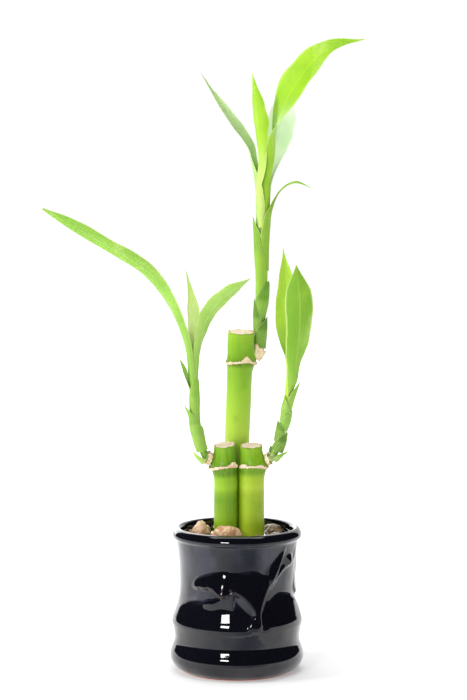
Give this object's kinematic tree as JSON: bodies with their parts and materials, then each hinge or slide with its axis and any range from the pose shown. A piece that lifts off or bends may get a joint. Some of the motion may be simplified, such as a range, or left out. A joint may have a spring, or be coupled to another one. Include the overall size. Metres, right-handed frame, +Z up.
{
  "type": "lucky bamboo",
  "caption": "Cut lucky bamboo canes with leafy side shoots, standing in pebbles and water in a glazed pot shaped like a joint of bamboo.",
  "frame": {"origin": "centre of the pot's flat foot, on the surface that it stands on", "axes": "+Z up along the canes; -Y towards the front, the side with the raised sprig on the pot; +X towards the right seen from the front"},
  "size_m": [0.1496, 0.0883, 0.3026],
  "materials": {
    "glaze": "gloss",
    "gravel": "matte",
    "pebble": "satin",
    "water": "gloss",
    "cane": "satin",
    "husk": "matte",
    "shoot_stem": "satin",
    "sheath": "satin",
    "leaf": "satin"
  },
  "bodies": {
    "root": {"pot": "glaze", "gravel_bed": "gravel", "water": "water", "tall_cane": "cane", "left_cane": "cane", "right_cane": "cane", "tall_cane_husk": "husk", "left_cane_husk": "husk", "right_cane_husk": "husk", "tall_shoot_stem": "shoot_stem", "left_shoot_stem": "shoot_stem", "right_shoot_stem": "shoot_stem", "tall_shoot_husk": "husk", "left_shoot_husk": "husk", "right_shoot_husk": "husk", "tall_leaf_1": "sheath", "tall_leaf_2": "sheath", "tall_leaf_3": "sheath", "tall_leaf_4": "sheath", "tall_leaf_5": "leaf", "tall_leaf_6": "leaf", "tall_leaf_7": "leaf", "tall_leaf_8": "leaf", "tall_leaf_9": "leaf", "left_leaf_1": "sheath", "left_leaf_2": "sheath", "left_leaf_3": "sheath", "left_leaf_4": "sheath", "left_leaf_5": "leaf", "left_leaf_6": "leaf", "left_leaf_7": "leaf", "left_leaf_8": "leaf", "right_leaf_1": "sheath", "right_leaf_2": "sheath", "right_leaf_3": "sheath", "right_leaf_4": "sheath", "right_leaf_5": "sheath", "right_leaf_6": "sheath", "right_leaf_7": "sheath", "right_leaf_8": "leaf", "right_leaf_9": "leaf", "pebble_1": "pebble", "pebble_2": "pebble", "pebble_3": "pebble", "pebble_4": "pebble", "pebble_5": "pebble", "pebble_6": "pebble", "pebble_7": "pebble", "pebble_8": "pebble", "pebble_9": "pebble", "pebble_10": "pebble", "pebble_11": "pebble", "pebble_12": "pebble", "pebble_13": "pebble"}
  },
  "joints": []
}
